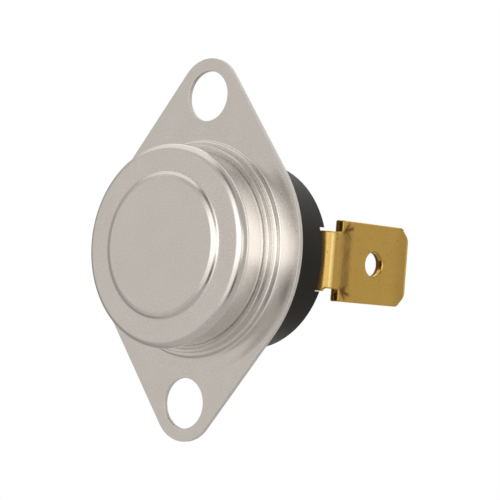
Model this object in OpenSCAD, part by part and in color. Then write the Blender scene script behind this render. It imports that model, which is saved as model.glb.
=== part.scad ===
// Snap-disc rollout switch with a two-hole flange, reset by hand.
// The switch's axis runs along Y: the sensing cap points to -Y, the terminals to +Y.
// The origin is the centre of the flange's front face, and the two holes lie along Z.

/* [Mounting flange] */
// Distance between the centres of the two mounting holes
hole_spacing = 23.8; // [23:0.1:26]
// Diameter of each mounting hole
hole_d = 3.9; // [3:0.1:4.4]
// Radius of the flange's rounded ends
tip_r = 2.95; // [2.7:0.05:3.5]
// Radius of the flange's round middle
flange_r = 10.2; // [10:0.1:11]
// Thickness of the flange's sheet
flange_t = 0.45; // [0.3:0.05:0.8]
// Height of the collar that stands up round the cap
collar_h = 0.42; // [0.3:0.02:0.6]
// Wall of the collar
collar_t = 0.3; // [0.2:0.05:0.4]
// Radius that blends the collar into the flange's face
collar_root = 0.14; // [0.08:0.02:0.2]
// Depth of the shallow dished ring round the collar
dish_depth = 0.04; // [0.03:0.01:0.1]
// Width of the flat land on each side of the dished ring
dish_land = 0.25; // [0.2:0.05:0.4]

/* [Sensing cap] */
// Outer diameter of the cap's straight wall
cap_d = 15.2; // [14.9:0.1:15.4]
// Overhang of the rounded front rim past the wall
rim_over = 0.25; // [0.15:0.05:0.4]
// Radius of the rounded front rim
rim_round = 0.7; // [0.4:0.05:0.75]
// Distance from the flange's front face to the cap's front ring
cap_h = 3.95; // [3.8:0.05:5]
// Thickness of the cap's sheet
cap_t = 0.4; // [0.3:0.05:0.45]
// Width of the flat ring between the raised disc and the wall
ring_w = 1.85; // [1.6:0.05:2]
// Height of the raised disc
raised_h = 0.25; // [0.2:0.01:0.35]
// Width of the brim that the skirt turns back from
brim_w = 0.4; // [0.4:0.05:0.6]
// Distance from the flange's front face to the brim's front face
brim_y = 0.95; // [0.85:0.05:1.2]
// Radius that blends the wall into the brim
brim_root = 0.1; // [0.06:0.02:0.1]
// Radius that rounds the brim's outer corner
brim_round = 0.28; // [0.1:0.02:0.28]

/* [Base] */
// Outer diameter of the base's barrel
barrel_d = 14.9; // [14.6:0.1:15.6]
// Distance from the flange's front face to the base's rear face
base_y = 7.05; // [6.8:0.05:8.5]
// Thickness of the base's rear wall
rear_wall = 1.75; // [1.6:0.05:2]
// Diameter of the cavity for the contacts
cavity_d = 12.2; // [11.8:0.1:12.6]
// Length of the shoulder that the skirt is rolled over
shoulder_l = 1.3; // [1.1:0.1:1.6]
// Depth of the neck that the rolled lip lies in
neck_depth = 0.5; // [0.4:0.05:0.6]
// Diameter of the boss round the reset button
boss_d = 5.2; // [4.6:0.1:5.4]
// Height of the boss above the rear face
boss_h = 0.9; // [0.5:0.1:1.5]
// Depth of the notch in the barrel's rear rim behind which each terminal bends
notch_depth = 0.75; // [0.4:0.05:1]
// Chamfer on the barrel's rear edge
barrel_chamfer = 0.15; // [0.1:0.05:0.3]

/* [Terminals] */
// Width of a blade
blade_w = 6.3; // [6.2:0.05:6.4]
// Length of a blade from its shoulders to its tip
blade_l = 8.05; // [7.7:0.05:8.5]
// Thickness of the terminal's sheet
blade_t = 0.8; // [0.75:0.01:0.85]
// Distance from the axis to a blade's outer face at the bend
blade_x = 7.6; // [7.5:0.05:8.2]
// Length of the straight neck from the bend to the blade's shoulders
neck_l = 0.33; // [0.1:0.01:2]
// Lean of the blade away from the axis, past the crease
blade_lean = 6.7; // [0:0.1:10]
// Distance from the shoulders to the crease
crease_s = 0.9; // [0.7:0.05:1.5]
// Width of the neck between the base and the shoulders
neck_w = 4.4; // [4:0.1:4.8]
// Width of the foot that lies on the base's rear face
foot_w = 4.9; // [4.6:0.05:5.2]
// Length of the bend that is still as wide as the foot
flare_l = 0.48; // [0.3:0.02:0.6]
// Inside radius of the right-angle bend
bend_r = 0.35; // [0.2:0.05:0.5]
// Diameter of the hole in a blade
blade_hole_d = 1.96; // [1.6:0.02:2.2]
// Distance from the shoulders to the hole in a blade
blade_hole_s = 3.97; // [3.5:0.01:4.5]
// Chamfer on the blade's corners
blade_chamfer = 0.95; // [0.6:0.05:1.2]
// Length of the lead-in bevels at the blade's tip
bevel_l = 0.35; // [0.3:0.05:0.8]
// Depth of each lead-in bevel
bevel_t = 0.1; // [0.08:0.02:0.2]
// Gap between the boss and the inner end of a terminal's foot
foot_gap = 0.38; // [0.25:0.01:0.5]
// Diameter of a rivet's shank
rivet_d = 1.8; // [1.5:0.1:2]
// Diameter of a rivet's head
rivet_head_d = 2.6; // [2.4:0.1:2.8]
// Height of a rivet's head
rivet_head_h = 0.5; // [0.4:0.05:0.6]

/* [Snap disc and pin] */
// Distance from the disc's edge to the inside of the cap's wall
disc_rim = 0.85; // [0.75:0.05:1]
// Thickness of the snap disc
disc_t = 0.2; // [0.15:0.01:0.3]
// Height of the snap disc's dome
dome_h = 0.21; // [0.15:0.01:0.22]
// Thickness of the plate that guides the pin
guide_t = 1; // [0.9:0.05:1.2]
// Width of the ledge behind the snap disc's rim
ledge_w = 0.9; // [0.7:0.1:1.4]
// Depth of the recess that the disc snaps back into
recess_depth = 0.4; // [0.3:0.05:0.5]
// Outer diameter of the guide's bush
bush_d = 3.8; // [3:0.1:4.2]
// Length of the guide's bush behind the plate
bush_l = 1.3; // [0.8:0.1:1.8]
// Diameter of the transfer pin
pin_d = 1.8; // [1.6:0.1:2]
// Diameter of the blunt noses on the pin and the button
nose_d = 0.8; // [0.6:0.05:0.9]
// Length of the taper behind each nose
nose_l = 0.5; // [0.4:0.05:0.6]

/* [Contacts] */
// Thickness of the contact arm's leaf
arm_t = 0.2; // [0.15:0.01:0.25]
// Distance from the cavity's rear wall to the arm's front face
arm_drop = 1.6; // [1.55:0.05:2]
// Distance from the axis to the edge that the arm bends over
arm_edge_x = 3; // [2.9:0.05:3.1]
// Width of the contact arm at its root
arm_root_w = 3; // [2.6:0.1:3.2]
// Width of the contact arm's free part
arm_w = 1.8; // [1.6:0.1:2]
// Distance from the axis to the contacts
contact_x = 2.4; // [2.35:0.05:2.5]
// Diameter of a contact's face
contact_d = 1.5; // [1.2:0.1:1.6]
// Thickness of a contact's head
contact_h = 0.45; // [0.4:0.05:0.5]
// Diameter of a contact's shank
contact_shank_d = 0.7; // [0.5:0.05:0.8]
// Thickness of the strip that carries the fixed contact
strip_t = 0.4; // [0.3:0.05:0.5]
// Width of that strip at its rivet
strip_w = 2.8; // [2.4:0.1:3]
// Width of that strip at the contact
strip_end_w = 1.9; // [1.6:0.1:2.2]
// Width of the moulded pads under the arm and the strip
pad_w = 3.4; // [3:0.1:4]

/* [Reset button] */
// Diameter of the reset button
button_d = 3.2; // [2.8:0.1:3.4]
// Diameter of the button's retaining shoulder
button_shoulder_d = 3.8; // [3.6:0.05:3.9]
// Thickness of the button's retaining shoulder
button_shoulder_t = 0.5; // [0.4:0.05:0.55]
// Height of the button above the boss at rest
button_h = 2.6; // [1.5:0.1:3]
// Radius of the button's rounded end
button_round = 0.4; // [0.2:0.05:0.8]

/* [Clearances] */
// Gap round pieces that are fitted into one another and stay put
seat_gap = 0.05; // [0.02:0.01:0.08]
// Gap round pieces that slide
slide_gap = 0.07; // [0.05:0.01:0.1]
// Gap between the ends of the pieces that push one another
push_gap = 0.1; // [0.08:0.01:0.12]
// Gap beside the snap disc's rim
disc_gap = 0.08; // [0.07:0.01:0.1]

/* [Hidden] */
// Faces on a round form, overlap that keeps cuts clean, and steps along a drawn arc
$fn = 96;
eps = 0.02;
arc_steps = 6;
steel = "#c9c3bb";
phenolic = "#2d2b29";
brass = "#b08c45";

// Cap
wall_r = cap_d / 2;
rim_r = wall_r + rim_over;
skirt_r = wall_r + brim_w;
raised_r = wall_r - ring_w;
cap_front = -cap_h;
shelf_y = cap_front + cap_t;
wall_in = wall_r - cap_t;
skirt_in = skirt_r - cap_t;
inner_round = rim_round / 2;
rim_back_a = 40;
step_round = raised_h / (2 * (1 - cos(45)));
raised_flat_r = raised_r - 2 * step_round * sin(45);

// Flange
hole_z = hole_spacing / 2;
collar_in = skirt_r + seat_gap;
collar_out = collar_in + collar_t;
dish_in = collar_out + collar_root + dish_land;
dish_out = flange_r - dish_land;
dish_mid = (dish_in + dish_out) / 2;
dish_half = (dish_out - dish_in) / 2;
dish_sweep = (pow(dish_half, 2) + pow(dish_depth, 2)) / (2 * dish_depth);
dish_a = acos(dish_half / dish_sweep);
// Angle, from Z, of the points where the straight edges leave the arcs
edge_a = acos((flange_r - tip_r) / hole_z);

// Base, from front to back
shoulder_front = -brim_y + cap_t + seat_gap;
shoulder_back = shoulder_front + shoulder_l;
shoulder_r = skirt_in - seat_gap;
neck_r = shoulder_r - neck_depth;
lip_front = shoulder_back + seat_gap;
lip_back = lip_front + cap_t;
barrel_front = lip_back + seat_gap;
spigot_r = wall_in - seat_gap;
cavity_r = cavity_d / 2;
cavity_back = base_y - rear_wall;
foot_front = base_y + seat_gap;
foot_back = foot_front + blade_t;
notch_w = foot_w + 2 * seat_gap;

// Terminals
foot_x = boss_d / 2 + foot_gap;
rivet_x = cavity_r - seat_gap - rivet_head_d / 2;
bend_out = bend_r + blade_t;
bend_x = blade_x - bend_out;
bend_end = foot_front + bend_out;
shoulder_y = bend_end + neck_l;
crease_y = shoulder_y + crease_s;
lean_l = blade_l - crease_s;

// Snap disc, guide and pin
disc_r = wall_in - disc_rim;
disc_front = shelf_y + disc_gap;
ledge_y = disc_front + disc_t + disc_gap;
guide_front = shelf_y + seat_gap;
guide_back = ledge_y + guide_t;
guide_r = wall_in - 2 * seat_gap;
// The pin travels as far as the disc's dome turns over
trip_travel = 2 * dome_h;
pin_front = disc_front + disc_t - dome_h + seat_gap;
pin_r = pin_d / 2;
nose_r = nose_d / 2;

// Contacts
arm_y = cavity_back - arm_drop;
arm_back = arm_y + arm_t;
arm_tip_r = arm_w / 2;
pin_back = arm_y - push_gap;
// The arm and the strip end just inside the cavity's round wall
arm_root_x = sqrt(pow(cavity_r - seat_gap, 2) - pow(arm_root_w / 2, 2));
strip_root_x = sqrt(pow(cavity_r - seat_gap, 2) - pow(strip_w / 2, 2));
pad_x = contact_x + arm_tip_r + 2 * seat_gap;
strip_back = arm_y - 2 * contact_h - seat_gap;
strip_front = strip_back - strip_t;
contact_r = contact_d / 2;
contact_round = 0.15;

// Reset button
button_r = button_d / 2;
button_front = arm_back + push_gap;
rest_back = cavity_back - trip_travel - seat_gap;
boss_back = base_y + boss_h;
button_back = boss_back + button_h;

// Points along an arc, from angle a0 to a1
function arc(centre, r, a0, a1) =
    [for (i = [0:arc_steps]) let (a = a0 + (a1 - a0) * i / arc_steps) centre + r * [cos(a), sin(a)]];

// Turns a form drawn along Z so that it runs along Y, towards the back
module along_axis() {
    rotate([-90, 0, 0]) children();
}

// A round bar along Y between two stations
module bar(r, y0, y1, x = 0) {
    translate([x, 0, 0]) along_axis() translate([0, 0, y0]) cylinder(r = r, h = y1 - y0);
}

// A box between two stations on Y, given by its two ends on X and its width on Z
module block(x0, x1, y0, y1, w) {
    translate([x0, y0, -w / 2]) cube([x1 - x0, y1 - y0, w]);
}

// A sheet form: an outline in X and Z, with some thickness along Y
module sheet(y0, t) {
    along_axis() translate([0, 0, y0]) linear_extrude(t) children();
}

module sensor_cap() {
    // Outer face, from the axis out over the rim and back to the rolled lip
    outer = concat(
        [[0, cap_front - raised_h]],
        arc([raised_flat_r, cap_front - raised_h + step_round], step_round, -90, -45),
        arc([raised_flat_r + 2 * step_round * sin(45), cap_front - step_round], step_round, 135, 90),
        arc([rim_r - rim_round, cap_front + rim_round], rim_round, -90, rim_back_a),
        [[wall_r, cap_front + rim_round * 2]],
        arc([wall_r + brim_root, -brim_y - brim_root], brim_root, 180, 90),
        arc([skirt_r - brim_round, -brim_y + brim_round], brim_round, -90, 0),
        arc([skirt_r - cap_t, lip_back - cap_t], cap_t, 0, 90)
    );
    inner = concat(
        [[0, cap_front - raised_h + cap_t]],
        arc([raised_flat_r - cap_t, cap_front - raised_h + cap_t + step_round], step_round, -90, -45),
        [[raised_r - cap_t, shelf_y]],
        [[wall_in - inner_round, shelf_y], [wall_in, shelf_y + inner_round]],
        [[wall_in, -brim_y + cap_t], [skirt_in, -brim_y + cap_t], [skirt_in, lip_front]],
        [[neck_r + seat_gap, lip_front], [neck_r + seat_gap, lip_back]]
    );
    back_to_axis = [for (i = [len(inner) - 1:-1:0]) inner[i]];
    color(steel)
    along_axis() rotate_extrude() polygon(concat(outer, back_to_axis));
}

module flange_outline() {
    near = flange_r * [sin(edge_a), cos(edge_a)];
    far = [tip_r * sin(edge_a), hole_z + tip_r * cos(edge_a)];
    circle(r = flange_r);
    for (s = [-1, 1]) translate([0, s * hole_z]) circle(r = tip_r);
    polygon([near, far, [-far[0], far[1]], [-near[0], near[1]],
             -near, -far, [far[0], -far[1]], [near[0], -near[1]]]);
}

module mounting_flange() {
    // Collar with a rounded top and a small blend into the flange's face
    collar = concat(
        [[collar_in, flange_t / 2]],
        arc([collar_in + collar_t / 2, -collar_h + collar_t / 2], collar_t / 2, -180, 0),
        arc([collar_out + collar_root, -collar_root], collar_root, 180, 90),
        [[collar_out + collar_root, flange_t / 2]]
    );
    dish = concat(
        [[dish_out, -eps]],
        arc([dish_mid, dish_depth - dish_sweep], dish_sweep, dish_a, 180 - dish_a),
        [[dish_in, -eps]]
    );
    color(steel)
    difference() {
        union() {
            sheet(0, flange_t) flange_outline();
            along_axis() rotate_extrude() polygon(collar);
        }
        bar(collar_in, -collar_h - eps, flange_t + eps);
        along_axis() rotate_extrude() polygon(dish);
        for (s = [-1, 1]) translate([0, 0, s * hole_z]) bar(hole_d / 2, -eps, flange_t + eps);
    }
}

module bimetal_disc() {
    steps = 8;
    radii = [for (i = [0:steps]) disc_r * i / steps];
    front = [for (r = radii) [r, disc_front - dome_h * (1 - pow(r / disc_r, 2))]];
    back = [for (i = [steps:-1:0]) front[i] + [0, disc_t]];
    color("#a9a7a0")
    along_axis() rotate_extrude() polygon(concat(front, back));
}

module pin_guide() {
    color("#8a6a4a")
    difference() {
        // A plate with a chamfered front edge, and a bush behind it
        along_axis() rotate_extrude() polygon([
            [0, guide_front], [guide_r - inner_round, guide_front], [guide_r, guide_front + inner_round],
            [guide_r, guide_back], [bush_d / 2, guide_back],
            [bush_d / 2, guide_back + bush_l], [0, guide_back + bush_l]
        ]);
        bar(disc_r + disc_gap, guide_front - eps, ledge_y);
        bar(disc_r - ledge_w, ledge_y - eps, ledge_y + recess_depth);
        bar(pin_r + slide_gap, guide_front, guide_back + bush_l + eps);
    }
}

module transfer_pin() {
    edge = 0.15;
    color("ivory")
    along_axis() rotate_extrude() polygon([
        [0, pin_front], [pin_r - edge, pin_front], [pin_r, pin_front + edge],
        [pin_r, pin_back - nose_l], [nose_r, pin_back], [0, pin_back]
    ]);
}

module base_housing() {
    color(phenolic)
    difference() {
        union() {
            difference() {
                // The outside of the moulding, from the spigot in the cap to the boss
                along_axis() rotate_extrude() polygon([
                    [0, guide_back + seat_gap], [spigot_r, guide_back + seat_gap],
                    [spigot_r, shoulder_front], [shoulder_r, shoulder_front],
                    [shoulder_r, shoulder_back], [neck_r, shoulder_back],
                    [neck_r, barrel_front], [barrel_d / 2, barrel_front],
                    [barrel_d / 2, base_y - barrel_chamfer], [barrel_d / 2 - barrel_chamfer, base_y],
                    [boss_d / 2, base_y], [boss_d / 2, boss_back], [0, boss_back]
                ]);
                bar(cavity_r, guide_back - eps, cavity_back);
            }
            // Pads that the inner contact parts are riveted against
            intersection() {
                bar(cavity_r + eps, strip_back, cavity_back + eps);
                union() {
                    block(-cavity_d, -arm_edge_x, arm_back, cavity_back + eps, pad_w);
                    block(pad_x, cavity_d, strip_back, cavity_back + eps, pad_w);
                }
            }
        }
        for (s = [-1, 1]) scale([s, 1, 1]) {
            block(bend_x - 2 * seat_gap, barrel_d, base_y - notch_depth, base_y + eps, notch_w);
            bar(rivet_d / 2 + seat_gap, strip_back - eps, base_y + eps, rivet_x);
        }
        bar(button_r + slide_gap, cavity_back - eps, boss_back + eps);
    }
}

// The right-hand terminal: foot, bend, neck and leaning blade
module terminal() {
    tip = [blade_x, crease_y] + lean_l * [sin(blade_lean), cos(blade_lean)];
    run = [sin(blade_lean), cos(blade_lean)];
    inward = [-cos(blade_lean), sin(blade_lean)];
    color(brass)
    difference() {
        union() {
            block(foot_x, bend_x + eps, foot_front, foot_back, foot_w);
            // The bend is as wide as the foot at first, then as wide as the neck
            intersection() {
                translate([bend_x, bend_end, -foot_w / 2 - eps]) difference() {
                    cylinder(r = bend_out, h = foot_w + 2 * eps);
                    translate([0, 0, -eps]) cylinder(r = bend_r, h = foot_w + 4 * eps);
                }
                union() {
                    block(bend_x, bend_x + flare_l, foot_front - eps, bend_end, foot_w);
                    block(bend_x, blade_x + eps, foot_front - eps, bend_end, neck_w);
                }
            }
            block(blade_x - blade_t, blade_x, bend_end - eps, crease_y, neck_w);
            intersection() {
                translate([0, 0, -blade_w / 2]) linear_extrude(blade_w) polygon([
                    [blade_x - blade_t, shoulder_y], [blade_x, shoulder_y], [blade_x, crease_y],
                    tip - bevel_l * run, tip + bevel_t * inward,
                    tip + (blade_t - bevel_t) * inward, tip + blade_t * inward - bevel_l * run,
                    [blade_x - blade_t, crease_y + blade_t * tan(blade_lean / 2)]
                ]);
                blade_corners();
            }
        }
        translate([blade_x, crease_y, 0]) rotate([0, 0, -blade_lean])
            translate([-blade_t / 2, blade_hole_s - crease_s, 0]) rotate([0, 90, 0])
                cylinder(d = blade_hole_d, h = blade_t * 2, center = true);
        bar(rivet_d / 2 + seat_gap, foot_front - eps, foot_back + eps, rivet_x);
    }
}

// A block as wide as the blade with its two tip corners cut at 45 degrees
module blade_corners() {
    end_y = crease_y + lean_l * cos(blade_lean);
    half = blade_w / 2;
    x0 = blade_x - 2 * blade_t;
    translate([x0, 0, 0]) rotate([90, 0, 90]) linear_extrude(blade_l) polygon([
        [shoulder_y - eps, -half], [end_y - blade_chamfer, -half], [end_y + eps, -half + blade_chamfer],
        [end_y + eps, half - blade_chamfer], [end_y - blade_chamfer, half], [shoulder_y - eps, half]
    ]);
}

module terminal_right() {
    terminal();
}

module terminal_left() {
    mirror([1, 0, 0]) terminal();
}

// A rivet from its inner head's seat to its outer head's seat
module rivet(inner_seat) {
    round_off = 0.25;
    head_r = rivet_head_d / 2;
    shank_r = rivet_d / 2;
    color("#b9974e")
    along_axis() rotate_extrude() polygon(concat(
        [[0, inner_seat - rivet_head_h]],
        arc([head_r - round_off, inner_seat - rivet_head_h + round_off], round_off, -90, 0),
        [[head_r, inner_seat], [shank_r, inner_seat], [shank_r, foot_back], [head_r, foot_back]],
        arc([head_r - round_off, foot_back + rivet_head_h - round_off], round_off, 0, 90),
        [[0, foot_back + rivet_head_h]]
    ));
}

module rivet_right() {
    translate([rivet_x, 0, 0]) rivet(strip_front);
}

module rivet_left() {
    translate([-rivet_x, 0, 0]) rivet(arm_y);
}

module contact_arm() {
    color("#c28b5b")
    difference() {
        sheet(arm_y, arm_t) {
            translate([-arm_root_x, -arm_root_w / 2])
                square([arm_root_x - arm_edge_x, arm_root_w]);
            translate([-arm_edge_x - eps, -arm_w / 2]) square([arm_edge_x + eps + contact_x, arm_w]);
            translate([contact_x, 0]) circle(r = arm_tip_r);
        }
        bar(rivet_d / 2 + seat_gap, arm_y - eps, arm_back + eps, -rivet_x);
        bar(contact_shank_d / 2, arm_y - eps, arm_back + eps, contact_x);
    }
}

module moving_contact() {
    face = arm_y - contact_h;
    shank_r = contact_shank_d / 2;
    // Height of the formed end behind the arm
    formed_h = 0.15;
    color("silver")
    translate([contact_x, 0, 0]) along_axis() rotate_extrude() polygon([
        [0, face], [contact_r - contact_round, face], [contact_r, face + contact_round],
        [contact_r, arm_y], [shank_r, arm_y], [shank_r, arm_back],
        [shank_r + formed_h, arm_back], [shank_r, arm_back + formed_h], [0, arm_back + formed_h]
    ]);
}

module fixed_contact_plate() {
    end_r = strip_end_w / 2;
    wide_x = rivet_x - rivet_head_d / 2;
    color("#b9974e")
    difference() {
        sheet(strip_front, strip_t) {
            translate([contact_x, 0]) circle(r = end_r);
            translate([contact_x, -end_r]) square([rivet_x - contact_x, 2 * end_r]);
            translate([wide_x, -strip_w / 2]) square([strip_root_x - wide_x, strip_w]);
        }
        bar(rivet_d / 2 + seat_gap, strip_front - eps, strip_back + eps, rivet_x);
    }
}

module fixed_contact() {
    face = strip_back + contact_h;
    color("silver")
    translate([contact_x, 0, 0]) along_axis() rotate_extrude() polygon([
        [0, strip_back], [contact_r, strip_back], [contact_r, face - contact_round],
        [contact_r - contact_round, face], [0, face]
    ]);
}

module reset_button() {
    stem_r = button_r - 0.5;
    rest_r = button_shoulder_d / 2;
    rest_front = rest_back - button_shoulder_t;
    color("firebrick")
    along_axis() rotate_extrude() polygon(concat(
        [[0, button_front], [nose_r, button_front], [stem_r, rest_front], [rest_r, rest_front]],
        [[rest_r, rest_back], [button_r, rest_back]],
        arc([button_r - button_round, button_back - button_round], button_round, 0, 90),
        [[0, button_back]]
    ));
}

sensor_cap();
mounting_flange();
bimetal_disc();
pin_guide();
transfer_pin();
base_housing();
terminal_right();
terminal_left();
rivet_right();
rivet_left();
contact_arm();
moving_contact();
fixed_contact_plate();
fixed_contact();
reset_button();
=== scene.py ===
import math
import bpy
import bmesh
from mathutils import Matrix, Vector
from mathutils.geometry import delaunay_2d_cdt


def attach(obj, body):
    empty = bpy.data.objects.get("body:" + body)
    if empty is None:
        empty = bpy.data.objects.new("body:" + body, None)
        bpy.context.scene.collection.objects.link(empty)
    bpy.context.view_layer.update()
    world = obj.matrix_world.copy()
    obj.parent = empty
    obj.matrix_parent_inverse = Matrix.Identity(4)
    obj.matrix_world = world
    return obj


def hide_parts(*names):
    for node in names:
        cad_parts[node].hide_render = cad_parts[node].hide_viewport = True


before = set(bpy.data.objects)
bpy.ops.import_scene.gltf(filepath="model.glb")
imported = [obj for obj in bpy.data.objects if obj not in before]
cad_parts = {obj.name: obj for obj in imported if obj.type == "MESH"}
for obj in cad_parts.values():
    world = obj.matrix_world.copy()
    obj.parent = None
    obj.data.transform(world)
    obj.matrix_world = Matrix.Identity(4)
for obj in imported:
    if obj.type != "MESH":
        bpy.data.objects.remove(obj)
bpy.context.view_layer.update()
print("frame loaded:", len(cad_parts), "nodes")

scene = bpy.context.scene
scene.view_settings.view_transform = "Standard"
mm = 0.001  # the sizes of all pieces are in mm


def linear(hexColour):  # sRGB hex to the linear colour that shaders want
    channels = [int(hexColour[i:i + 2], 16) / 255 for i in (1, 3, 5)]
    return tuple(c / 12.92 if c <= 0.04045 else ((c + 0.055) / 1.055) ** 2.4 for c in channels) + (1.0,)


def addNode(tree, kind, settings=None, **links):
    # a socket goes by its name with spaces left out, or by i and its number; a value is a number, a colour
    # or another socket
    node = tree.nodes.new(kind)
    for key, value in (settings or {}).items():
        setattr(node, key, value)
    for key, value in links.items():
        socket = next((s for s in node.inputs if s.enabled and s.name.replace(" ", "") == key), None)
        if socket is None:
            socket = node.inputs[int(key.lstrip("i"))]
        if isinstance(value, bpy.types.NodeSocket):
            tree.links.new(value, socket)
        else:
            socket.default_value = value
    return node


def out(node, name=0):
    return node.outputs[name]


def blankMaterial(name):
    material = bpy.data.materials.new(name)
    material.use_nodes = True
    material.node_tree.nodes.clear()
    return material, material.node_tree


# Materials

def satinNickel(name, look):
    # Nickel-plated drawn sheet: a fine grain scatters the reflection, so bands are soft and their rims break up.
    # The real grain is finer than a pixel, so it is drawn as coarse as it needs to show.
    material, tree = blankMaterial(name)
    place = out(addNode(tree, "ShaderNodeTexCoord"), "Object")
    grain = addNode(tree, "ShaderNodeTexNoise", Vector=place, Scale=1 / (look["grainMm"] * mm),
                    Detail=2.0, Roughness=0.6)
    blotch = addNode(tree, "ShaderNodeTexNoise", Vector=place, Scale=1 / (look["blotchMm"] * mm),
                     Detail=3.0, Roughness=0.5)
    tone = addNode(tree, "ShaderNodeMix", {"data_type": "RGBA"}, i0=out(blotch),
                   i6=linear(look["dark"]), i7=linear(look["light"]))
    speckle = addNode(tree, "ShaderNodeMapRange", Value=out(grain), i1=0.3, i2=0.7,
                      i3=1 - look["speckle"], i4=1 + look["speckle"])
    colour = addNode(tree, "ShaderNodeVectorMath", {"operation": "SCALE"}, i0=out(tone, 2), i3=out(speckle))
    gloss = addNode(tree, "ShaderNodeMapRange", Value=out(grain), i1=0.25, i2=0.75,
                    i3=look["roughness"] - look["spread"], i4=look["roughness"] + look["spread"])
    torn = out(addNode(tree, "ShaderNodeAttribute", {"attribute_name": "torn"}), "Fac")
    rough = addNode(tree, "ShaderNodeMath", {"operation": "MULTIPLY_ADD"},  # sheared walls scatter more
                    i0=torn, i1=look["tornRoughness"], i2=out(gloss))
    bump = addNode(tree, "ShaderNodeBump", Strength=look["bump"], Distance=look["bumpMm"] * mm,
                   Height=out(grain))
    metal = addNode(tree, "ShaderNodeBsdfPrincipled", BaseColor=out(colour), Metallic=1.0,
                    Roughness=out(rough), Normal=out(bump))
    addNode(tree, "ShaderNodeOutputMaterial", Surface=out(metal))
    return material


def stampedBrass(name, look):
    # Cold-rolled cartridge brass: dull gold with small dark specks and faint cloudy tarnish. The blades carry three
    # attributes
    # from 0 to 1: stains plus painted shade along the crease, a paler colour painted as a highlight on the bend, and
    # the torn half of an edge, which is rougher and painted dark as shade.
    material, tree = blankMaterial(name)
    place = out(addNode(tree, "ShaderNodeTexCoord"), "Object")
    cloud = addNode(tree, "ShaderNodeTexNoise", Vector=place, Scale=1 / (look["cloudMm"] * mm),
                    Detail=4.0, Roughness=0.6)
    grain = addNode(tree, "ShaderNodeTexNoise", Vector=place, Scale=1 / (look["grainMm"] * mm),
                    Detail=2.0, Roughness=0.6)
    speck = addNode(tree, "ShaderNodeTexNoise", Vector=place, Scale=1 / (look["speckMm"] * mm), Detail=1.0)
    tone = addNode(tree, "ShaderNodeMix", {"data_type": "RGBA"}, i0=out(cloud),
                   i6=linear(look["dark"]), i7=linear(look["light"]))
    spots = addNode(tree, "ShaderNodeMapRange", Value=out(speck), i1=0.66, i2=0.76, i3=0.0, i4=look["speckDepth"])
    wornAndShaded = out(addNode(tree, "ShaderNodeAttribute", {"attribute_name": "wearAndShade"}), "Fac")
    torn = out(addNode(tree, "ShaderNodeAttribute", {"attribute_name": "torn"}), "Fac")
    paintedHighlight = out(addNode(tree, "ShaderNodeAttribute", {"attribute_name": "paintedHighlight"}), "Fac")
    alongZ = addNode(tree, "ShaderNodeVectorMath", {"operation": "MULTIPLY"}, i0=place, i1=(1.0, 1.0, 0.3))
    streak = addNode(tree, "ShaderNodeTexNoise", Vector=out(alongZ), Scale=1 / (look["streakMm"] * mm), Detail=2.0)
    streaks = addNode(tree, "ShaderNodeMapRange", Value=out(streak), i1=0.36, i2=0.62, i3=0.68, i4=1.0)
    # stains, with painted shade along the blades' crease
    stainAndShade = addNode(tree, "ShaderNodeMath", {"operation": "MULTIPLY", "use_clamp": True}, i0=wornAndShaded, i1=out(streaks))
    stainedAndShaded = addNode(tree, "ShaderNodeMath", {"operation": "MAXIMUM"}, i0=out(spots), i1=out(stainAndShade))
    # painted highlight: the bend's outside is mixed towards a paler colour
    highlighted = addNode(tree, "ShaderNodeMix", {"data_type": "RGBA"}, i0=paintedHighlight,
                     i6=out(tone, 2), i7=linear(look["paintedHighlight"]))
    spotted = addNode(tree, "ShaderNodeMix", {"data_type": "RGBA"}, i0=out(stainedAndShaded),
                      i6=out(highlighted, 2), i7=linear(look["tarnish"]))
    # the torn half of an edge is rougher, and is also painted near black as shade
    shadedTorn = addNode(tree, "ShaderNodeMapRange", Value=torn, i1=0.85, i2=1.0, i3=0.0, i4=look["tornDepth"])
    surface = addNode(tree, "ShaderNodeMix", {"data_type": "RGBA"}, i0=out(shadedTorn),
                      i6=out(spotted, 2), i7=linear(look["torn"]))
    dull = addNode(tree, "ShaderNodeMath", {"operation": "MAXIMUM"}, i0=out(stainAndShade), i1=torn)
    gloss = addNode(tree, "ShaderNodeMapRange", Value=out(grain), i1=0.25, i2=0.75,
                    i3=look["roughness"] - look["spread"], i4=look["roughness"] + look["spread"])
    rough = addNode(tree, "ShaderNodeMath", {"operation": "MULTIPLY_ADD"},
                    i0=out(dull), i1=look["dullRoughness"], i2=out(gloss))
    metallic = addNode(tree, "ShaderNodeMath", {"operation": "MULTIPLY_ADD"},
                       i0=out(dull), i1=-look["dullCover"], i2=1.0)
    bump = addNode(tree, "ShaderNodeBump", Strength=look["bump"], Distance=look["bumpMm"] * mm,
                   Height=out(grain))
    metal = addNode(tree, "ShaderNodeBsdfPrincipled", BaseColor=out(surface, 2), Metallic=out(metallic),
                    Roughness=out(rough), Normal=out(bump))
    addNode(tree, "ShaderNodeOutputMaterial", Surface=out(metal))
    return material


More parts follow.
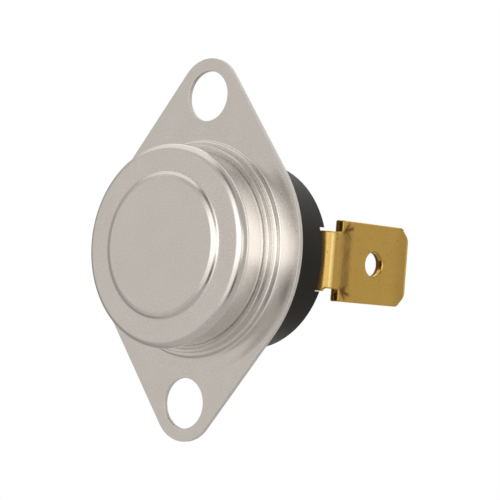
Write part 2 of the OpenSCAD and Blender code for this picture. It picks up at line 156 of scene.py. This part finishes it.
def mouldedPlastic(name, look):
    # Filled thermoset or nylon: matt skin with a fine orange-peel, a few pale filler specks and soft edges
    material, tree = blankMaterial(name)
    place = out(addNode(tree, "ShaderNodeTexCoord"), "Object")
    skin = addNode(tree, "ShaderNodeTexNoise", Vector=place, Scale=1 / (look["skinMm"] * mm),
                   Detail=3.0, Roughness=0.6)
    filler = addNode(tree, "ShaderNodeTexNoise", Vector=place, Scale=1 / (look["fillerMm"] * mm), Detail=1.0)
    flecks = addNode(tree, "ShaderNodeMapRange", Value=out(filler), i1=0.68, i2=0.8,
                     i3=0.0, i4=look["fillerDepth"])
    tone = addNode(tree, "ShaderNodeMix", {"data_type": "RGBA"}, i0=out(skin),
                   i6=linear(look["dark"]), i7=linear(look["light"]))
    flecked = addNode(tree, "ShaderNodeMix", {"data_type": "RGBA"}, i0=out(flecks),
                      i6=out(tone, 2), i7=linear(look["filler"]))
    gloss = addNode(tree, "ShaderNodeMapRange", Value=out(skin), i1=0.25, i2=0.75,
                    i3=look["roughness"] - look["spread"], i4=look["roughness"] + look["spread"])
    edge = addNode(tree, "ShaderNodeBevel", {"samples": 4}, Radius=look["edgeMm"] * mm)
    bump = addNode(tree, "ShaderNodeBump", Strength=look["bump"], Distance=look["bumpMm"] * mm,
                   Height=out(skin), Normal=out(edge))
    plastic = addNode(tree, "ShaderNodeBsdfPrincipled", BaseColor=out(flecked, 2), Roughness=out(gloss),
                      IOR=look["ior"], Normal=out(bump))
    addNode(tree, "ShaderNodeOutputMaterial", Surface=out(plastic))
    return material


nickelLook = {"dark": "#e6e4e1", "light": "#eeecea", "grainMm": 0.11, "blotchMm": 2.4, "speckle": 0.07,
              "roughness": 0.21, "spread": 0.05, "tornRoughness": 0.35, "bump": 0.1, "bumpMm": 0.004}
flangeLook = dict(nickelLook, dark="#e3e1de", light="#eeecea", roughness=0.23, bump=0.2)
# The brass's paler colour is a painted highlight for the bend, and its near-black is painted shade for the torn half of
# its edges
brassLook = {"dark": "#deb65e", "light": "#e8c26a", "tarnish": "#7c561e", "paintedHighlight": "#f6da92", "torn": "#241a10",
             "tornDepth": 0.75, "cloudMm": 1.6, "grainMm": 0.12, "streakMm": 0.16, "speckMm": 0.22,
             "speckDepth": 0.5, "roughness": 0.22, "spread": 0.05, "dullRoughness": 0.3, "dullCover": 0.4,
             "bump": 0.15, "bumpMm": 0.004}
# The IOR is below that of the resin, as the skin of the real base is matt and hardly mirrors its surroundings
phenolicLook = {"dark": "#0c0904", "light": "#151008", "filler": "#5a5751", "skinMm": 0.16, "fillerMm": 0.12,
                "fillerDepth": 0.5, "roughness": 0.4, "spread": 0.06, "bump": 0.3, "bumpMm": 0.006,
                "edgeMm": 0.06, "ior": 1.35}

nickelPlate = satinNickel("nickelPlatedCap", nickelLook)
nickelSheet = satinNickel("nickelPlatedSheet", flangeLook)
# Bare rolled strip is browner and duller than the plate; silver is paler, with a softer shine
bimetalStrip = satinNickel("rolledBimetal", dict(nickelLook, dark="#a8a195", light="#b7b0a4", roughness=0.34))
silverRivet = satinNickel("fineSilver", dict(nickelLook, dark="#dedcd6", light="#ebe9e4", roughness=0.25))
# Headed wire is a little paler and softer than the sheet; beryllium copper is redder
brassSheet = stampedBrass("stampedCartridgeBrass", brassLook)
brassRivet = stampedBrass("headedBrass", dict(brassLook, dark="#dfbb6c", light="#ebc97c", roughness=0.26))
springCopper = stampedBrass("rolledBerylliumCopper", dict(brassLook, dark="#b87f4e", light="#c99060",
                                                          roughness=0.24))
# Black resin for the base, brown laminate for the guide, chalky ceramic for the pin, clean red nylon to press
blackPhenolic = mouldedPlastic("mouldedBlackPhenolic", phenolicLook)
paperPhenolic = mouldedPlastic("paperPhenolicLaminate", dict(phenolicLook, dark="#6b4a30", light="#7d5a3c",
                                                             filler="#93714f"))
steatite = mouldedPlastic("firedSteatite", dict(phenolicLook, dark="#d8d0bf", light="#e6dfcf",
                                                filler="#c2b8a4", roughness=0.5))
redNylon = mouldedPlastic("mouldedRedNylon", dict(phenolicLook, dark="#a3160f", light="#b81d14", filler="#c2362a",
                                                  roughness=0.34, fillerDepth=0.1, bump=0.15, ior=1.53))
print("materials made")


# Helpers for turned and joined shapes

def roundedPath(corners, steps=7):
    # corners are (radius, station, fillet); a fillet of 0 keeps the corner, others become arcs of even steps
    path = []
    for i, (r, y, fillet) in enumerate(corners):
        here = Vector((r, y))
        if fillet == 0 or i in (0, len(corners) - 1):
            path.append(here)
            continue
        before = (Vector(corners[i - 1][:2]) - here).normalized()
        after = (Vector(corners[i + 1][:2]) - here).normalized()
        half = before.angle(after) / 2
        if half > math.radians(89.5):  # all but straight
            path.append(here)
            continue
        reach = fillet / math.tan(half)
        centre = here + (before + after).normalized() * (fillet / math.sin(half))
        start, end = here + before * reach - centre, here + after * reach - centre
        turn = start.angle_signed(end)
        for k in range(steps + 1):
            path.append(centre + Matrix.Rotation(-turn * k / steps, 2) @ start)
    return path


sharpFrom = math.radians(38)  # edges that turn by more than this stay sharp


def finish(mesh, name, material, body, nodes, pressed=False):
    # one object from a bmesh, riding on its body. A turned piece is smooth and weighted towards its flat faces;
    # a pressed one is smooth only where its faces say so.
    bmesh.ops.remove_doubles(mesh, verts=mesh.verts, dist=1e-7)
    bmesh.ops.recalc_face_normals(mesh, faces=mesh.faces)
    for edge in mesh.edges:
        edge.smooth = edge.calc_face_angle(0) < sharpFrom
    data = bpy.data.meshes.new(name)
    mesh.to_mesh(data)
    mesh.free()
    for face in data.polygons:
        face.use_smooth = face.use_smooth or not pressed
    data.materials.append(material)
    piece = bpy.data.objects.new(name, data)
    scene.collection.objects.link(piece)
    if not pressed:
        weighted = piece.modifiers.new("flatFaces", "WEIGHTED_NORMAL")
        weighted.weight = 80
        weighted.keep_sharp = True
    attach(piece, body)
    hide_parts(*nodes)
    return piece


def spin(mesh, path, facets, along=(0.0, 0.0)):
    # turns a path of (radius, station) about an axis along Y through the given X and Z
    rings = []
    for r, y in path:
        if r < 1e-6:
            rings.append([mesh.verts.new((along[0] * mm, y * mm, along[1] * mm))] * facets)
            continue
        angles = (2 * math.pi * k / facets for k in range(facets))
        rings.append([mesh.verts.new(((along[0] + r * math.cos(a)) * mm, y * mm, (along[1] + r * math.sin(a)) * mm))
                      for a in angles])
    for inner, outer in zip(rings, rings[1:]):
        for k in range(facets):
            n = (k + 1) % facets
            corners = list(dict.fromkeys((inner[k], inner[n], outer[n], outer[k])))
            if len(corners) > 2:
                mesh.faces.new(corners)
    return rings


# Sensing cap: drawn from sheet, with a raised disc, a rounded rim, a brim at the wall's root and a skirt whose lip
# is rolled in behind the base. A thin seam parts the wall from the brim.

cap = {"front": -3.87, "raised": 0.33, "raisedR": 5.84, "hollowR": 5.02, "hollow": 0.022,
       "rimR": 7.81, "rimRound": 0.64, "rimTurn": 130, "wallR": 7.6, "brim": -0.95, "seam": 0.1, "seamDeep": 0.14,
       "skirtR": 8.0, "sheet": 0.4, "lip": 1.25, "neckR": 7.1, "facets": 256}
stepSlope = ((5.04, 0), (5.10, 10), (5.16, 19), (5.38, 21), (5.43, 42), (5.50, 47), (5.57, 45), (5.62, 19),
             (5.70, 10), (5.84, 5), (6.0, 0))  # radius, degrees: a soft shoulder, then a tight foot
stepLength = 0.02
front, brim, lip, sheet = cap["front"], cap["brim"], cap["lip"], cap["sheet"]
wallR, skirtR, neckR = cap["wallR"], cap["skirtR"], cap["neckR"]
frontFace = front - cap["raised"]
capPath = [Vector((0, frontFace + cap["hollow"]))]
for k in range(1, 13):  # the disc is very slightly hollow, up to a soft bead at its edge
    r = cap["hollowR"] * k / 12
    capPath.append(Vector((r, frontFace + cap["hollow"] * (1 - (r / cap["hollowR"]) ** 6))))
drop, stepPoints = 0.0, [(stepSlope[0][0], 0.0)]
for (r0, slope0), (r1, slope1) in zip(stepSlope, stepSlope[1:]):
    parts = max(2, round((r1 - r0) / stepLength))
    for k in range(parts):
        drop += (r1 - r0) / parts * math.tan(math.radians(slope0 + (slope1 - slope0) * (k + 0.5) / parts))
        stepPoints.append((r0 + (r1 - r0) * (k + 1) / parts, drop))
capPath += [Vector((r, frontFace + cap["raised"] * y / drop)) for r, y in stepPoints]
for k in range(17):
    a = math.radians(-90 + cap["rimTurn"] * k / 16)
    capPath.append(Vector((cap["rimR"] - cap["rimRound"] + cap["rimRound"] * math.cos(a),
                           front + cap["rimRound"] + cap["rimRound"] * math.sin(a))))
capPath += roundedPath([
    (wallR + 0.01, front + 1.1, 0), (wallR, front + 1.16, 0),  # the rim's end, without an undercut
    (wallR, brim + cap["seamDeep"], 0), (wallR + cap["seam"], brim + cap["seamDeep"], 0),
    (wallR + cap["seam"], brim, 0.05), (skirtR, brim, 0.07), (skirtR, lip, 0.35), (neckR, lip, 0),
    (neckR, lip - sheet, 0), (skirtR - sheet, lip - sheet, 0), (skirtR - sheet, brim + sheet, 0),  # the inside
    (wallR - sheet, brim + sheet, 0), (wallR - sheet, front + sheet, 0.2), (cap["raisedR"] - sheet, front + sheet, 0),
    (cap["raisedR"] - sheet - 0.3, frontFace + sheet, 0), (0, frontFace + sheet, 0)])
capMesh = bmesh.new()
spin(capMesh, capPath, cap["facets"])
finish(capMesh, "drawnCap", nickelPlate, "housing", ["sensor_cap"])
print("cap made")


# Mounting flange: stamped plate with rounded sheared edges, a collar and a shallow dished ring, which is deeper
# towards the ears by the factor 1 + earDish

flange = {"holeZ": 11.9, "holeR": 1.95, "tipR": 2.95, "middleR": 10.195, "sheet": 0.35, "roll": 0.05, "burr": 0.02,
          "collarIn": 7.96, "collarOut": 8.35, "collarH": 0.42, "root": 0.14,
          "dishIn": 8.7, "dishOut": 9.84, "dish": 0.015, "earDish": 2.0, "facets": 192}


def polar(radius, angle, z=0.0):
    return radius * math.cos(angle), radius * math.sin(angle) + z


def straightTo(points, end, count=8):
    # adds the points between the outline's last point and the start of the next arc
    start, end = Vector(points[-1]), Vector(end)
    points += [tuple(start.lerp(end, k / count)) for k in range(1, count)]


def flangeOutline(inset):
    # the plate's outline, moved inwards by some mm, always with the same number of points
    tipR, middleR = flange["tipR"] - inset, flange["middleR"] - inset
    leave = math.acos((flange["middleR"] - flange["tipR"]) / flange["holeZ"])  # from Z, where arcs end
    points = []
    for turn in (0, math.pi):
        holeZ = flange["holeZ"] * math.cos(turn)
        for k in range(25):  # ear
            points.append(polar(tipR, math.pi / 2 - leave + 2 * leave * k / 24 + turn, holeZ))
        begin = math.pi / 2 + leave + turn
        straightTo(points, polar(middleR, begin))
        for k in range(49):  # round middle
            points.append(polar(middleR, begin + (math.pi - 2 * leave) * k / 48))
        straightTo(points, polar(tipR, begin + math.pi - 2 * leave, -holeZ))
    return points


def holeOutline(inset, side):
    return [polar(flange["holeR"] + inset, 2 * math.pi * k / 72, side * flange["holeZ"]) for k in range(72)]


def loop(mesh, points, y):
    return [mesh.verts.new((x * mm, y * mm, z * mm)) for x, z in points]


def bridge(mesh, first, second):
    for k in range(len(first)):
        n = (k + 1) % len(first)
        mesh.faces.new((first[k], first[n], second[n], second[k]))


def shearedEdge(mesh, outline):
    # die roll at the front, sheared wall, small burr at the back; returns the front and back loops
    roll, burr, thick = flange["roll"], flange["burr"], flange["sheet"]
    angles = [math.radians(t) for t in range(0, 91, 15)]
    stations = [(roll * (1 - math.sin(a)), roll * (1 - math.cos(a))) for a in angles]
    stations += [(0.0, thick - burr), (burr * 0.3, thick - burr * 0.3), (burr, thick)]
    loops = [loop(mesh, outline(inset), y) for inset, y in stations]
    for first, second in zip(loops, loops[1:]):
        bridge(mesh, first, second)
    for vertex in (v for ring in loops[1:-1] for v in ring):
        vertex[mesh.verts.layers.float["torn"]] = 1.0
    return loops[0], loops[-1]


def fillBetween(mesh, loops, centreHole, earHole):
    # flat sheet between the outline and its holes; the outline is convex, so only the holes' triangles are left out
    points, edges = [v for ring in loops for v in ring], []
    for ring in loops:
        first = points.index(ring[0])
        edges += [(first + k, first + (k + 1) % len(ring)) for k in range(len(ring))]
    flat = [Vector((v.co.x, v.co.z)) / mm for v in points]
    places, _, faces, origins, _, _ = delaunay_2d_cdt(flat, edges, [], 0, 1e-5)
    for face in faces:
        a, b, c = (places[k] for k in face)
        middle = (a + b + c) / 3
        sliver = abs((b - a).cross(c - a)) < 1e-4
        inEarHole = math.hypot(middle.x, abs(middle.y) - flange["holeZ"]) <= earHole
        if not sliver and middle.length > centreHole and not inEarHole:
            mesh.faces.new([points[origins[k][0]] for k in face])


flangeMesh = bmesh.new()
flangeMesh.verts.layers.float.new("torn")
outlines = (flangeOutline, lambda inset: holeOutline(inset, 1), lambda inset: holeOutline(inset, -1))
frontLoops, backLoops = zip(*[shearedEdge(flangeMesh, outline) for outline in outlines])
collarPath = roundedPath([
    (flange["collarIn"], flange["sheet"], 0), (flange["collarIn"], -flange["collarH"], 0.08),
    (flange["collarOut"], -flange["collarH"], 0.19), (flange["collarOut"], 0, flange["root"]),
    (flange["dishIn"], 0, 0)])
dishSteps = 16
for k in range(1, dishSteps + 1):  # a smooth dip
    t = k / dishSteps
    collarPath.append(Vector((flange["dishIn"] + (flange["dishOut"] - flange["dishIn"]) * t,
                              flange["dish"] * math.sin(math.pi * t) ** 1.5)))
rings = spin(flangeMesh, collarPath, flange["facets"])
for vertex in (v for ring in rings[-dishSteps:] for v in ring):
    vertex.co.y *= 1 + flange["earDish"] * (vertex.co.z / math.hypot(vertex.co.x, vertex.co.z)) ** 4
fillBetween(flangeMesh, [*frontLoops, rings[-1]], flange["dishOut"], flange["holeR"] + flange["roll"])
fillBetween(flangeMesh, [*backLoops, rings[0]], flange["collarIn"], flange["holeR"] + flange["burr"])
stampedFlange = finish(flangeMesh, "stampedFlange", nickelSheet, "housing", ["mounting_flange"])
for face in stampedFlange.data.polygons:  # the plate itself is shaded flat
    face.use_smooth = abs(face.normal.y) < 0.99999
print("flange made:", len(stampedFlange.data.polygons), "faces")


# Terminals: pressed from flat strip, bent up from the base, creased and leaning outwards. s runs along the strip
# from the foot's inner end, w across it, and depth inwards from its outer face.

blade = {"sheet": 0.8, "footX": 2.98, "footY": 7.1, "flare": 0.5, "footW": 4.95, "neckW": 4.48, "bladeW": 6.38,
         "rise": 0.04, "bendOut": 1.15, "outerX": 7.6, "shoulderY": 8.58, "creaseY": 9.48, "creaseSoft": 0.35,
         "lean": 6.7, "length": 7.99, "corner": 0.95, "cornerRound": 0.5, "holeR": 0.98, "holeAt": 3.97,
         "bevelL": 0.35, "bevelT": 0.1, "groove": 0.015, "edge": 0.11, "burnished": 0.4}
dentStart, dentWidth = Vector((0.36, 2.36)), 0.19  # past the shoulders and across the strip
dentEnds = ((1.3, 2.62), (0.93, 1.85), (0.12, 2.1), (0.75, 2.9))
bendX = blade["outerX"] - blade["bendOut"]
bendS = bendX - blade["footX"]
riseS = bendS + blade["bendOut"] * math.pi / 2
shoulderS = riseS + blade["shoulderY"] - blade["footY"] - blade["bendOut"]
creaseS = shoulderS + blade["creaseY"] - blade["shoulderY"]
tipS = shoulderS + blade["length"]
holeS = shoulderS + blade["holeAt"]


def ramp(value, start, end):
    k = min(max((value - start) / (end - start), 0), 1)
    return k * k * (3 - 2 * k)


def bendAngle(s):
    return math.degrees((s - bendS) / blade["bendOut"])


def pressWearAndShade(s, w):
    # 0 to 1: brown stain at the bend's root, a dull band along the crease that is darkened there as painted shade,
    #         short dents fanning out from each notch
    t, angle = s - shoulderS, bendAngle(s)
    wearAndShade = 0.25 + 0.1 * (1 - ramp(angle, 6, 22)) - 0.25 * ramp(angle, 38, 50)
    inside = 1 - ramp(abs(w), 2.0, 2.5)
    # the band along the crease is painted shade
    wearAndShade = max(wearAndShade, 0.7 * math.exp(-(abs(t - 0.6) / 0.58) ** 4) * inside)
    wearAndShade = max(wearAndShade, 0.25 * ramp(t, 6.1, 7.3))  # and a little towards the tip
    for end in dentEnds:
        run, offset = Vector(end) - dentStart, Vector((t, abs(w))) - dentStart
        along = min(max(offset.dot(run) / run.dot(run), 0), 1)
        gap = (offset - run * along).length
        wearAndShade = max(wearAndShade, (1.6 - 0.8 * along) * math.exp(-(gap / dentWidth) ** 2) * (1 - ramp(t, 1.25, 1.5)))
    return wearAndShade


def paintedBendHighlight(s):
    # 0 to 1: painted highlight, a paler colour on the outside of the bend, most of all just past its middle, where the
    #         bend's highlight falls
    angle = bendAngle(s)
    return max(0.3 * ramp(angle, 18, 30) * (1 - ramp(angle, 62, 74)), ramp(angle, 44, 52) * (1 - ramp(angle, 62, 72)))


def bladePlace(s, depth, wearAndShade):
    # where a point of the flat strip goes once it is bent
    if s > tipS - blade["bevelL"]:
        taper = blade["bevelT"] * (s - tipS + blade["bevelL"]) / blade["bevelL"]
        depth += taper * (1 - 2 * depth / blade["sheet"])
    if s <= bendS:
        return blade["footX"] + s, blade["footY"] + depth
    if s <= riseS:
        a = (s - bendS) / blade["bendOut"]
        r = blade["bendOut"] - depth
        return bendX + r * math.sin(a), blade["footY"] + blade["bendOut"] - r * math.cos(a)
    soft, lean = blade["creaseSoft"], math.radians(blade["lean"])  # the crease is a short bend
    past = s - creaseS
    tilt = lean * min(max((past + soft) / (2 * soft), 0), 1)
    x, y = blade["outerX"], blade["footY"] + blade["bendOut"] + min(s, creaseS - soft) - riseS
    steps = 12
    run = max(min(past + soft, 2 * soft), 0)
    for k in range(steps):
        a = lean * (k + 0.5) / steps * run / (2 * soft)
        x, y = x + run / steps * math.sin(a), y + run / steps * math.cos(a)
    if past > soft:
        x, y = x + (past - soft) * math.sin(lean), y + (past - soft) * math.cos(lean)
    mark = blade["groove"] * wearAndShade * (1 - depth / blade["sheet"])
    return x - (depth + mark) * math.cos(tilt), y + (depth + mark) * math.sin(tilt)


def pressTerminal(name, side, node):
    foot, neck, wide, corner = blade["footW"] / 2, blade["neckW"] / 2, blade["bladeW"] / 2, blade["corner"]
    soft = blade["cornerRound"]
    outline = [tuple(point) for point in roundedPath([
        (0, neck, 0), (shoulderS, neck, 0), (shoulderS, wide, 0), (tipS - corner, wide, soft),
        (tipS, wide - corner, soft), (tipS, corner - wide, soft), (tipS - corner, -wide, soft),
        (shoulderS, -wide, 0), (shoulderS, -neck, 0), (bendS + blade["flare"] + 0.3, -neck, 0),
        (bendS + blade["flare"], -foot, 0), (0, -foot, 0)], 4)]
    mesh = bmesh.new()
    wearAndShadeLayer = mesh.verts.layers.float.new("wearAndShade")
    tornLayer = mesh.verts.layers.float.new("torn")
    paintedHighlightLayer = mesh.verts.layers.float.new("paintedHighlight")
    outer = [mesh.verts.new((s, w, 0)) for s, w in outline]
    hole = [mesh.verts.new((holeS + blade["holeR"] * math.cos(a), blade["holeR"] * math.sin(a), 0))
            for a in (2 * math.pi * k / 64 for k in range(64))]
    around = [mesh.verts.new((holeS + 1.35 * (v.co.x - holeS), 1.35 * v.co.y, 0)) for v in hole]  # clear of the edge
    edges = [mesh.edges.new((ring[k], ring[(k + 1) % len(ring)])) for ring in (outer, around) for k in range(len(ring))]
    bmesh.ops.triangle_fill(mesh, use_beauty=True, use_dissolve=False, edges=edges)
    bridge(mesh, around, hole)

    def cutAcross(place, normal, faces):
        geometry = list({part for face in faces for part in (face, *face.edges, *face.verts)})
        bmesh.ops.bisect_plane(mesh, geom=geometry, dist=1e-6, plane_co=place, plane_no=normal)

    # cuts close together at the bend, the dents and the tip's bevel
    cuts = [bendS - 0.2] + [bendS + (riseS - bendS) * k / 26 for k in range(27)] + [riseS + 0.3, shoulderS - 0.25]
    cuts += [shoulderS + 0.16 + 0.06 * k for k in range(24)]
    cuts += [tipS - 1.95 + 0.4 * k for k in range(4)] + [tipS - blade["bevelL"]]
    for cut in cuts:
        cutAcross((cut, 0, 0), (1, 0, 0), list(mesh.faces))
    for cut in [sign * (neck + 0.08 * k) for sign in (-1, 1) for k in range(-10, 10) if k not in (-1, 0)]:
        dented = [face for face in mesh.faces
                  if shoulderS + 0.1 < face.calc_center_median().x < shoulderS + 1.5]
        cutAcross((0, cut, 0), (0, 1, 0), dented)
    for face in mesh.faces:  # only the bend and the crease are shaded round, so the flats stay flat
        s = face.calc_center_median().x
        face.smooth = bendS - 0.2 < s < riseS + 0.3 or shoulderS + 0.16 < s < shoulderS + 1.5
    grown = bmesh.ops.extrude_face_region(mesh, geom=list(mesh.faces), use_keep_orig=True)
    for vertex in grown["geom"]:
        if isinstance(vertex, bmesh.types.BMVert):
            vertex.co.z = blade["sheet"]
    # the clean and the torn half of a sheared wall
    for depth in (blade["burnished"], blade["burnished"] + 0.05, blade["sheet"] - 0.14):
        cutAcross((0, 0, depth), (0, 0, 1), list(mesh.faces))
    for face in mesh.faces:  # the hole's wall is round too
        middle = face.calc_center_median()
        if 0.01 < middle.z < blade["sheet"] - 0.01 and (middle.xy - Vector((holeS, 0))).length < blade["holeR"] + 0.01:
            face.smooth = True
    for vertex in mesh.verts:
        s, w, depth = vertex.co
        vertex[wearAndShadeLayer] = pressWearAndShade(s, w) if depth < 0.01 else 0.0
        # the torn half is rougher, and painted dark as shade
        vertex[tornLayer] = 1.0 if blade["burnished"] + 0.01 < depth < blade["sheet"] - 0.01 else 0.0
        if depth < 0.01:  # the stretched skin at the root of the bend is matt too
            vertex[tornLayer] = 0.8 * (1 - ramp(bendAngle(s), 14, 34))
            # painted highlight on the outside of the bend
            vertex[paintedHighlightLayer] = paintedBendHighlight(s)
        x, y = bladePlace(s, depth, vertex[wearAndShadeLayer] if s > shoulderS else 0.0)
        vertex.co = (side * x * mm, y * mm, (w + blade["rise"]) * mm)
    piece = finish(mesh, name, brassSheet, "housing", [node], True)
    rounding = piece.modifiers.new("shearedEdges", "BEVEL")
    rounding.width, rounding.segments, rounding.limit_method = blade["edge"] * mm, 3, "ANGLE"
    rounding.angle_limit = math.radians(50)
    rounding.use_clamp_overlap = False


pressTerminal("rightBlade", 1, "terminal_right")
pressTerminal("leftBlade", -1, "terminal_left")
print("terminals made")


# Rivets, with a shallow dimple in the outer head, and the reset button with its retaining shoulder

rivet = {"x": 4.75, "shankR": 0.9, "headR": 1.3, "headH": 0.5, "back": 7.9, "rightSeat": 2.35, "leftSeat": 3.7,
         "facets": 72}
top = rivet["back"] + rivet["headH"]
for name, side, seat, node in (("rightRivet", 1, rivet["rightSeat"], "rivet_right"),
                               ("leftRivet", -1, rivet["leftSeat"], "rivet_left")):
    path = roundedPath([
        (0, seat - rivet["headH"], 0), (rivet["headR"], seat - rivet["headH"], 0.3), (rivet["headR"], seat, 0.05),
        (rivet["shankR"], seat, 0), (rivet["shankR"], rivet["back"], 0), (rivet["headR"], rivet["back"], 0.06),
        (rivet["headR"] - 0.1, top - 0.04, 0.3), (0.45, top, 0.3), (0.3, top - 0.06, 0.1), (0, top - 0.08, 0)])
    mesh = bmesh.new()
    spin(mesh, path, rivet["facets"], (side * rivet["x"], 0))
    finish(mesh, name, brassRivet, "housing", [node])

button = {"front": 4.0, "noseR": 0.4, "stemR": 1.1, "shoulderY": 4.33, "shoulderR": 1.9, "shoulderT": 0.5,
          "r": 1.6, "back": 10.55, "round": 0.4, "facets": 96}
shoulderEnd = button["shoulderY"] + button["shoulderT"]
mesh = bmesh.new()
spin(mesh, roundedPath([
    (0, button["front"], 0), (button["noseR"], button["front"], 0.05), (button["stemR"], button["shoulderY"], 0),
    (button["shoulderR"], button["shoulderY"], 0.08), (button["shoulderR"], shoulderEnd, 0.08),
    (button["r"], shoulderEnd, 0.05), (button["r"], button["back"], button["round"]),
    (0, button["back"] - 0.03, 0)]), button["facets"])
finish(mesh, "resetButton", redNylon, "button", ["reset_button"])
print("rivets and button made")


# Nodes that keep the shape they come with

keptFinish = {"base_housing": blackPhenolic, "bimetal_disc": bimetalStrip, "pin_guide": paperPhenolic,
              "transfer_pin": steatite, "contact_arm": springCopper, "moving_contact": silverRivet,
              "fixed_contact_plate": brassSheet, "fixed_contact": silverRivet}
for node, material in keptFinish.items():
    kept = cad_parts[node]
    kept.data.materials.clear()
    kept.data.materials.append(material)
print("kept nodes finished")


# Stage, light and camera; sizes here are in metres

def setPiece(name, mesh, material):
    data = bpy.data.meshes.new(name)
    mesh.to_mesh(data)
    mesh.free()
    data.materials.append(material)
    piece = bpy.data.objects.new(name, data)
    scene.collection.objects.link(piece)
    return piece


def towards(azimuth, elevation):  # azimuth from -Y towards +X
    a, e = math.radians(azimuth), math.radians(elevation)
    return Vector((math.sin(a) * math.cos(e), -math.cos(a) * math.cos(e), math.sin(e)))


floorMaterial, tree = blankMaterial("paleFloor")
matt = addNode(tree, "ShaderNodeBsdfDiffuse", Color=linear("#ffffff"))
addNode(tree, "ShaderNodeOutputMaterial", Surface=out(matt))
floorMesh = bmesh.new()
bmesh.ops.create_grid(floorMesh, x_segments=1, y_segments=1, size=3.0)
floor = setPiece("floor", floorMesh, floorMaterial)
floor.location = (0, 0, -0.75)  # so far below that the picture shows no shadow

# Everything beyond the set is plain white, for every kind of ray
world = bpy.data.worlds.new("whiteBackground")
scene.world = world
world.use_nodes = True
tree = world.node_tree
tree.nodes.clear()
white = addNode(tree, "ShaderNodeBackground", Color=(1, 1, 1, 1), Strength=1.0)
addNode(tree, "ShaderNodeOutputWorld", Surface=out(white))

# A light tent of grey cloth with softly brighter and darker patches. It is open behind the object, where metal and
# plastic show the white background, and the camera sees through it.
tent = {"radius": 0.7, "grey": 0.46, "tint": (1.0, 0.945, 0.885), "openTowards": (-172, 30), "openHalf": 20}
patches = {  # azimuth, elevation, full and faded radius in degrees, change of level
    "overhead": (-78, 60, 24, 39, 0.42),
    "frontLeft": (-42, 0, 15, 40, 0.15),
    "halo": (15, 5, 20, 40, 0.55),
    "stripRight": (80, 6, 10, 18, 0.3),
    "wallGlow": (38, 4, 8, 18, 0.22),
    "aboveStrip": (22, 32, 6, 22, 0.3),
    "darkLowRight": (50, -29, 8, 16, -0.36),
    "darkHighRight": (32, 56, 8, 22, -0.25),
    "leftBehind": (-105, -20, 20, 50, -0.14),
    "rightBehind": (140, 0, 25, 45, 0.06),
    "lowBehind": (-150, -15, 15, 35, 0.35),
    "behind": (-165, 26, 30, 50, 0.55),
}
tentMaterial, tree = blankMaterial("tentCloth")
place = out(addNode(tree, "ShaderNodeTexCoord"), "Object")
direction = out(addNode(tree, "ShaderNodeVectorMath", {"operation": "NORMALIZE"}, i0=place))
level = tent["grey"]
for azimuth, elevation, full, faded, change in patches.values():
    facing = addNode(tree, "ShaderNodeVectorMath", {"operation": "DOT_PRODUCT"},
                     i0=direction, i1=towards(azimuth, elevation))
    patch = addNode(tree, "ShaderNodeMapRange", {"interpolation_type": "SMOOTHSTEP"}, Value=out(facing, 1),
                    i1=math.cos(math.radians(faded)), i2=math.cos(math.radians(full)), i3=0.0, i4=change)
    level = out(addNode(tree, "ShaderNodeMath", {"operation": "ADD"}, i0=level, i1=out(patch)))
tinted = addNode(tree, "ShaderNodeVectorMath", {"operation": "SCALE"}, i0=tent["tint"], i3=level)
inside = addNode(tree, "ShaderNodeEmission", Color=out(tinted), Strength=1.0)
outside = addNode(tree, "ShaderNodeEmission", Color=(1, 1, 1, 1), Strength=1.0)
side = addNode(tree, "ShaderNodeNewGeometry")
cloth = addNode(tree, "ShaderNodeMixShader", i0=out(side, "Backfacing"), i1=out(outside), i2=out(inside))
addNode(tree, "ShaderNodeOutputMaterial", Surface=out(cloth))
tentMaterial.cycles.emission_sampling = "NONE"  # a big soft light is found soonest by the bounced rays
tentMesh = bmesh.new()
bmesh.ops.create_icosphere(tentMesh, subdivisions=5, radius=tent["radius"])
opening = towards(*tent["openTowards"])
openHalf = math.radians(tent["openHalf"])
gone = [face for face in tentMesh.faces if face.calc_center_median().angle(opening) < openHalf]
bmesh.ops.delete(tentMesh, geom=gone, context="FACES")
lightTent = setPiece("lightTent", tentMesh, tentMaterial)
lightTent.visible_camera = False

# One strip lamp in front, on the right: the bright line down the cap's rim, step and wall
frontStrip = {"azimuth": 34, "elevation": 9, "distance": 0.45, "size": (0.9, 0.25), "radiance": 0.47}
wide, high = frontStrip["size"]
light = bpy.data.lights.new("frontStrip", "AREA")
light.shape, light.size, light.size_y = "RECTANGLE", wide, high
light.energy = frontStrip["radiance"] * math.pi * wide * high
light.color = tent["tint"]
lamp = bpy.data.objects.new("frontStrip", light)
lamp.location = towards(frontStrip["azimuth"], frontStrip["elevation"]) * frontStrip["distance"]
lamp.rotation_euler = Vector(lamp.location).to_track_quat("Z", "Y").to_euler()
scene.collection.objects.link(lamp)

# The camera that was fitted to the photograph, for a picture 500 pixels wide; its place is in mm
view = {"place": (95.80928, -108.80808, -4.8953), "right": (0.76866374, 0.63474991, 0.0790481),
        "up": (-0.03820861, -0.07779609, 0.99623685), "back": (0.63851089, -0.76879147, -0.03554612),
        "focalPixels": 1879.189, "pixels": 500, "sensorMm": 36.0}
cameraData = bpy.data.cameras.new("camera")
cameraData.sensor_fit, cameraData.sensor_width = "HORIZONTAL", view["sensorMm"]
cameraData.lens = view["focalPixels"] / view["pixels"] * view["sensorMm"]
cameraData.clip_start, cameraData.clip_end = 0.01, 20.0
camera = bpy.data.objects.new("camera", cameraData)
turn = Matrix((view["right"], view["up"], view["back"])).transposed().to_4x4()
camera.matrix_world = Matrix.Translation(Vector(view["place"]) * mm) @ turn
scene.collection.objects.link(camera)
scene.camera = camera
print("stage, lights and camera made")
